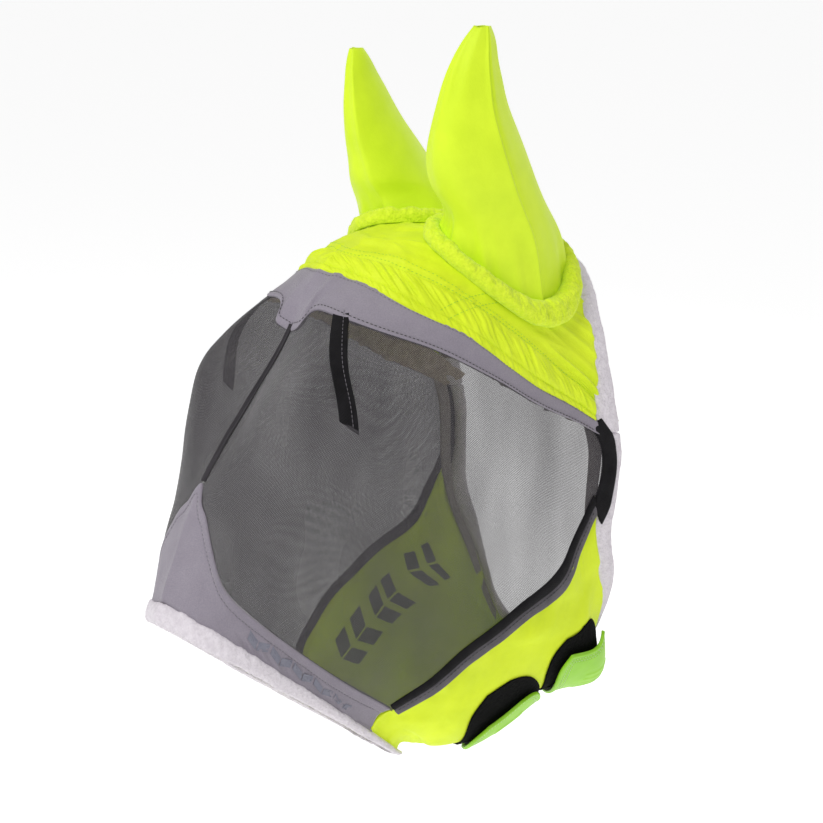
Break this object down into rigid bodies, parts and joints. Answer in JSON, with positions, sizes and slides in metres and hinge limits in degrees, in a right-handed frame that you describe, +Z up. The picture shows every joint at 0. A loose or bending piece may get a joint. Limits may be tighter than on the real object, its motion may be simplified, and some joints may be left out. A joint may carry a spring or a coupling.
{
  "type": "horse fly mask with ears",
  "caption": "Standard fly mask for a horse: see-through eye mesh, soft-shell crown and cheeks, fleece-bound edges, two ear covers and two hook-and-loop jaw straps.",
  "frame": {"origin": "the poll: top centre of the crown between the ears, on the outer face of the fabric", "axes": "-Y towards the muzzle, +Y towards the neck, +X the horse's left side, +Z up, symmetric about X=0 except the straps, the under-jaw flap and the lean of the ears"},
  "size_m": [0.2198, 0.4251, 0.6211],
  "materials": {
    "softshell_yellow": "woven soft-shell, fluorescent yellow, slight satin sheen",
    "band_grey": "matte knitted band fabric, mauve grey",
    "mesh_dark": "fine dark polyester mesh, see-through",
    "tape_black": "woven polyester tape, black",
    "tape_grey": "woven polyester tape, dark grey",
    "fleece_white": "short pile fleece, off-white",
    "fleece_yellow": "short pile fleece, fluorescent yellow",
    "fleece_tan": "short pile fleece, tan",
    "loop_black": "brushed loop fabric, black",
    "strap_black": "hook tape on neoprene, black",
    "rubber_green": "moulded soft rubber, bright green, satin",
    "print_olive": "heat-transfer print, dark olive",
    "print_grey": "heat-transfer print, blue grey"
  },
  "bodies": {
    "mask": {"brow_band": "band_grey", "brow_elastic_channel": "softshell_yellow", "brow_fleece_lining": "fleece_tan", "centre_seam_tape": "tape_black", "cheek_chevrons_right": "print_olive", "cheek_left": "softshell_yellow", "cheek_right": "softshell_yellow", "cheek_seam_strip_left": "tape_grey", "cheek_seam_strip_right": "tape_grey", "crown_panel": "softshell_yellow", "dart_tape_left": "tape_black", "dart_tape_right": "tape_black", "ear_collar_left": "fleece_yellow", "ear_collar_right": "fleece_yellow", "loop_pad_front": "loop_black", "loop_pad_rear": "loop_black", "mesh_left": "mesh_dark", "mesh_right": "mesh_dark", "nose_band": "band_grey", "nose_chevrons_left": "print_grey", "nose_fleece_binding": "fleece_white", "piping_left": "tape_black", "piping_right": "tape_black", "rear_binding_left": "tape_black", "rear_binding_right": "tape_black", "rear_fleece_left": "fleece_white", "rear_fleece_right": "fleece_white", "rear_fleece_top": "fleece_white", "rear_tape_left": "tape_grey", "rear_tape_right": "tape_grey", "throat_fleece": "fleece_white", "under_jaw_flap": "softshell_yellow"},
    "ear_left": {"ear_left_back_panel": "softshell_yellow", "ear_left_front_panel": "softshell_yellow"},
    "ear_right": {"ear_right_back_panel": "softshell_yellow", "ear_right_front_panel": "softshell_yellow"},
    "strap_front": {"strap_front": "strap_black", "pull_tab_front": "rubber_green"},
    "strap_rear": {"strap_rear": "strap_black", "pull_tab_rear": "rubber_green"}
  },
  "joints": [
    {"name": "ear_left_swing", "type": "hinge", "parent": "mask", "child": "ear_left", "pos_m": [0.05543, 0.01256, -0.0097], "axis": [0.8601, 0, -0.5101], "range_deg": [-12, 12]},
    {"name": "ear_right_swing", "type": "hinge", "parent": "mask", "child": "ear_right", "pos_m": [-0.05543, 0.01256, -0.0097], "axis": [0.8601, 0, 0.5101], "range_deg": [-12, 12]},
    {"name": "strap_front_peel", "type": "hinge", "parent": "mask", "child": "strap_front", "pos_m": [0.03396, 0.02053, -0.43088], "axis": [0.0787, 0.9173, 0.3903], "range_deg": [0, 60]},
    {"name": "strap_rear_peel", "type": "hinge", "parent": "mask", "child": "strap_rear", "pos_m": [0.03622, 0.09789, -0.41187], "axis": [-0.0268, 0.9996, -0.0106], "range_deg": [0, 60]}
  ]
}
